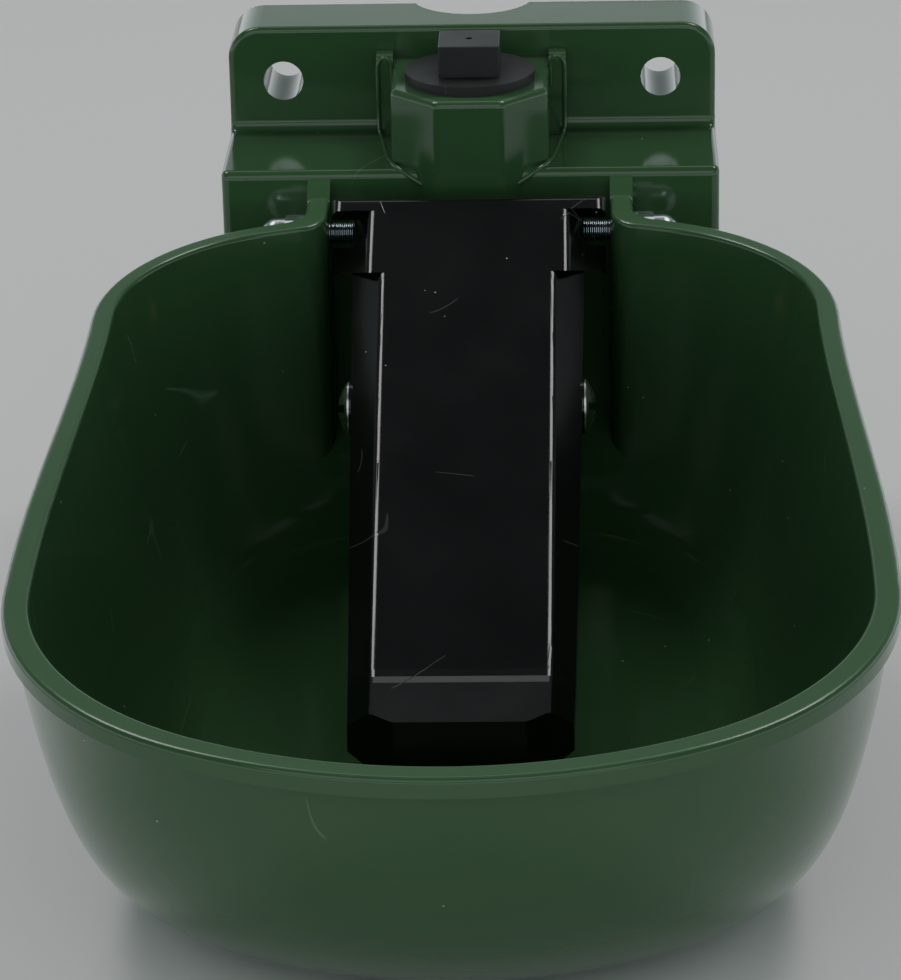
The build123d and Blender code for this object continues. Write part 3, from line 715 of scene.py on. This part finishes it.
@dataclass
class Tongue:
    """The black tongue and the slotted pin that couples it to the valve stem."""

    finishes: Finishes
    pin_place: tuple[float, float] = (-0.1195, -0.0511)
    pin_radius: float = 0.003
    head_face: float = 0.0276
    head_radius: float = 0.0064
    head_collar: float = 0.0004
    head_dome: float = 0.0023
    slot_width: float = 0.0018
    slot_depth: float = 0.0016
    slot_slope: float = radians(-21.0)
    segments: int = 48
    dome_steps: tuple[float, ...] = (0.25, 0.45, 0.62, 0.76, 0.87, 0.95)
    dome_fall: float = 1.6

    def build(self) -> None:
        """Model the coupling pin."""
        pin = self.turn_pin()
        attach(pin, "tongue")
        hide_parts("cross_pin", "cross_pin_cap")
        self.finishes.dress(pin, Finish.STEEL)

    def turn_pin(self) -> bpy.types.Object:
        """Turn the shank with its two domed heads and saw a slot in each.

        Returns:
            The finished pin.
        """
        Bench.clear()
        bpy.ops.mesh.primitive_cylinder_add(
            vertices=self.segments,
            radius=self.pin_radius,
            depth=2 * self.head_face,
            location=(0, *self.pin_place),
            rotation=(0, pi / 2, 0),
        )
        pin = Bench.start("coupling_pin")
        for side in (-1, 1):
            self.raise_head(pin, side)
        Bench.close(pin)
        for side in (-1, 1):
            Bench.carve(pin, self.slot_cutter(side))
        bpy.ops.object.shade_smooth_by_angle(angle=SMOOTH_ANGLE)
        return pin

    def raise_head(self, pin: bpy.types.Object, side: int) -> None:
        """Draw one end of the shank out into a collar and a dome.

        Args:
            pin: The pin being edited.
            side: -1 for the left end, 1 for the right end.
        """
        Bench.select_faces(
            pin, lambda face: face.normal.z * side > 0.9 and face.calc_center_median().z * side > 0
        )
        middle = (side * self.head_face, *self.pin_place)
        self.extrude_ring(side, 0.0, self.head_radius / self.pin_radius, middle)
        self.extrude_ring(side, self.head_collar, 1.0, middle)
        dome_radius = (self.head_radius**2 + self.head_dome**2) / (2 * self.head_dome)
        height, radius = 0.0, self.head_radius
        for share in self.dome_steps:
            new_radius = self.head_radius * (1 - share**self.dome_fall)
            new_height = (dome_radius**2 - new_radius**2) ** 0.5 - (dome_radius - self.head_dome)
            self.extrude_ring(side, new_height - height, new_radius / radius, middle)
            height, radius = new_height, new_radius

    @staticmethod
    def extrude_ring(side: int, step: float, scale: float, middle: tuple[float, float, float]) -> None:
        """Extrude the selected end face along X and scale it about the pin's axis.

        Args:
            side: -1 for the left end, 1 for the right end.
            step: How far the face moves outwards.
            scale: The face's new size as a share of the old.
            middle: A point on the pin's axis.
        """
        bpy.ops.mesh.extrude_region_move(TRANSFORM_OT_translate={"value": (side * step, 0, 0)})
        bpy.ops.transform.resize(value=(1, scale, scale), center_override=middle)

    def slot_cutter(self, side: int) -> bpy.types.Object:
        """Shape the saw that cuts one head's slot.

        Args:
            side: -1 for the left head, 1 for the right head.

        Returns:
            The cutter.
        """
        crown = self.head_face + self.head_collar + self.head_dome
        Bench.clear()
        bpy.ops.mesh.primitive_cube_add(size=1, location=(side * crown, *self.pin_place))
        cutter = Bench.start("slot_saw")
        bpy.ops.transform.resize(value=(2 * self.slot_depth, 3 * self.head_radius, self.slot_width))
        bpy.ops.object.mode_set(mode="OBJECT")
        cutter.rotation_euler = (self.slot_slope, 0, 0)
        bpy.ops.object.transform_apply(location=True, rotation=True, scale=True)
        return cutter

    def dress(self) -> None:
        """Put the black finish on the tongue."""
        self.finishes.dress(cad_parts["tongue"], Finish.BLACK)


@dataclass
class Fixings:
    """The threaded pivot pin with its washers and cap nuts."""

    finishes: Finishes
    zinc_pieces: tuple[str, ...] = ("pin_washer_left", "pin_washer_right", "cap_nut_left", "cap_nut_right")

    def dress(self) -> None:
        """Put zinc on the washers and nuts and a thread on the pin."""
        self.finishes.dress(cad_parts["pivot_pin"], Finish.THREAD)
        for name in self.zinc_pieces:
            self.finishes.dress(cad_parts[name], Finish.ZINC)


@dataclass
class Valve:
    """The water valve behind the tongue, from its body to its spring."""

    finishes: Finishes
    finish_of: dict[str, Finish] = field(
        default_factory=lambda: {
            "valve_body": Finish.BRASS,
            "body_gasket": Finish.FIBRE,
            "valve_stem": Finish.STEEL,
            "stem_seal": Finish.RUBBER,
            "seal_clip": Finish.STEEL,
            "spring_seat": Finish.BRASS,
            "valve_spring": Finish.STEEL,
        }
    )

    def dress(self) -> None:
        """Put each valve piece's finish on it."""
        for name, finish in self.finish_of.items():
            self.finishes.dress(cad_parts[name], finish)


@dataclass
class Inlet:
    """The plug that closes the upper water inlet, and its seal."""

    finishes: Finishes

    def dress(self) -> None:
        """Put the plug's black and the seal's rubber on them."""
        self.finishes.dress(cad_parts["inlet_plug"], Finish.PLUG_BLACK)
        self.finishes.dress(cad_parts["plug_seal"], Finish.RUBBER)


# ---------------------------------------------------------------------- studio
@dataclass
class Softbox:
    """A large square light that faces a point."""

    name: str
    place: tuple[float, float, float]
    target: tuple[float, float, float]
    size: tuple[float, float]
    power: float

    def build(self) -> None:
        """Make the light."""
        lamp = bpy.data.lights.new(self.name, "AREA")
        lamp.shape = "RECTANGLE"
        lamp.size, lamp.size_y = self.size
        lamp.energy = self.power
        holder = bpy.data.objects.new(self.name, lamp)
        bpy.context.scene.collection.objects.link(holder)
        holder.location = self.place
        aim = Vector(self.target) - Vector(self.place)
        holder.rotation_euler = aim.to_track_quat("-Z", "Y").to_euler()


@dataclass
class Studio:
    """Pale floor, soft lights and the camera."""

    floor_size: float = 6.0
    floor_colour: tuple[float, float, float] = (0.92, 0.92, 0.92)
    horizon_strength: float = 1.75
    zenith_strength: float = 0.12
    horizon_top: float = 0.75
    horizon_fall: float = 2.8
    sky_colour: tuple[float, float, float] = (0.88, 0.98, 1.0)
    camera_place: tuple[float, float, float] = (0.02698, -1.06256, 0.31140)
    camera_turn: tuple[float, float, float] = (-0.03461, 0.38575, -0.02186)
    lens_pixels: float = 4294.067
    centre_pixels: tuple[float, float] = (444.725, 489.361)
    picture_pixels: tuple[float, float] = (901.0, 980.0)
    sensor: float = 36.0
    lights: tuple[Softbox, ...] = (
        Softbox("strip_left", (-0.56, 0.36, 1.2), (0, -0.15, -0.05), (0.5, 0.4), 4.2),
        Softbox("strip_right", (0.56, 0.36, 1.2), (0, -0.15, -0.05), (0.5, 0.4), 4.2),
        Softbox("back_panel", (0, 0.71, 1.05), (0, -0.15, -0.05), (0.9, 0.3), 0.8),
        Softbox("front_panel", (0, -1.7, 1.3), (0, -0.15, -0.05), (2.4, 1.2), 8.5),
    )

    def build(self) -> None:
        """Make the floor, the sky, the lights and the camera."""
        self.lay_floor()
        self.light_sky()
        for light in self.lights:
            light.build()
        self.place_camera()

    def lay_floor(self) -> None:
        """Lay the pale floor under the bowl's lowest point."""
        bpy.ops.object.select_all(action="DESELECT")
        bpy.ops.mesh.primitive_plane_add(size=self.floor_size, location=(0, 0, CAD_BOX[0].z))
        floor = bpy.context.active_object
        floor.name = "floor"
        material = bpy.data.materials.new("pale_floor")
        nodes = NodeTable(material)
        nodes.surface(in_Base_Color=(*self.floor_colour, 1.0), in_Roughness=0.6)
        floor.data.materials.append(material)

    def light_sky(self) -> None:
        """Light the room, bright along the horizon and dim overhead."""
        world = bpy.data.worlds.new("studio")
        bpy.context.scene.world = world
        world.use_nodes = True
        tree = world.node_tree
        background = tree.nodes["Background"]
        place = tree.nodes.new("ShaderNodeTexCoord")
        parts = tree.nodes.new("ShaderNodeSeparateXYZ")
        depth = tree.nodes.new("ShaderNodeMapRange")
        fall = tree.nodes.new("ShaderNodeMath")
        strength = tree.nodes.new("ShaderNodeMapRange")
        depth.inputs["From Max"].default_value = self.horizon_top
        depth.inputs["To Min"].default_value = 1.0
        depth.inputs["To Max"].default_value = 0.0
        fall.operation = "POWER"
        fall.inputs[1].default_value = self.horizon_fall
        strength.inputs["To Min"].default_value = self.zenith_strength
        strength.inputs["To Max"].default_value = self.horizon_strength
        tree.links.new(place.outputs["Generated"], parts.inputs["Vector"])
        tree.links.new(parts.outputs["Z"], depth.inputs["Value"])
        tree.links.new(depth.outputs["Result"], fall.inputs[0])
        tree.links.new(fall.outputs["Value"], strength.inputs["Value"])
        tree.links.new(strength.outputs["Result"], background.inputs["Strength"])
        background.inputs["Color"].default_value = (*self.sky_colour, 1)

    def place_camera(self) -> None:
        """Stand the camera in front of the bowl, looking down at it."""
        yaw, pitch, roll = self.camera_turn
        ahead = Vector((sin(yaw) * cos(pitch), cos(yaw) * cos(pitch), -sin(pitch)))
        level = Vector((cos(yaw), -sin(yaw), 0))
        above = level.cross(ahead)
        right = cos(roll) * level + sin(roll) * above
        up = -sin(roll) * level + cos(roll) * above
        lens = bpy.data.cameras.new("camera")
        holder = bpy.data.objects.new("camera", lens)
        bpy.context.scene.collection.objects.link(holder)
        turn = Matrix((right, up, -ahead)).transposed()
        holder.matrix_world = Matrix.Translation(self.camera_place) @ turn.to_4x4()
        wide, high = self.picture_pixels
        longest = max(wide, high)
        lens.sensor_width = self.sensor
        lens.lens = self.lens_pixels * self.sensor / longest
        lens.shift_x = (wide / 2 - self.centre_pixels[0]) / longest
        lens.shift_y = (self.centre_pixels[1] - high / 2) / longest
        lens.clip_start, lens.clip_end = 0.05, 20.0
        bpy.context.scene.camera = holder


# ---------------------------------------------------------------------- making
def main() -> None:
    """Build the scene in order and report each piece."""
    logging.basicConfig(level=logging.INFO, format="%(message)s")
    finishes = Finishes()
    Studio().build()
    bowl = Bowl(finishes)
    bowl.build()
    bowl.dress()
    tongue = Tongue(finishes)
    tongue.build()
    tongue.dress()
    Fixings(finishes).dress()
    Valve(finishes).dress()
    Inlet(finishes).dress()


if __name__ == "__main__":
    main()
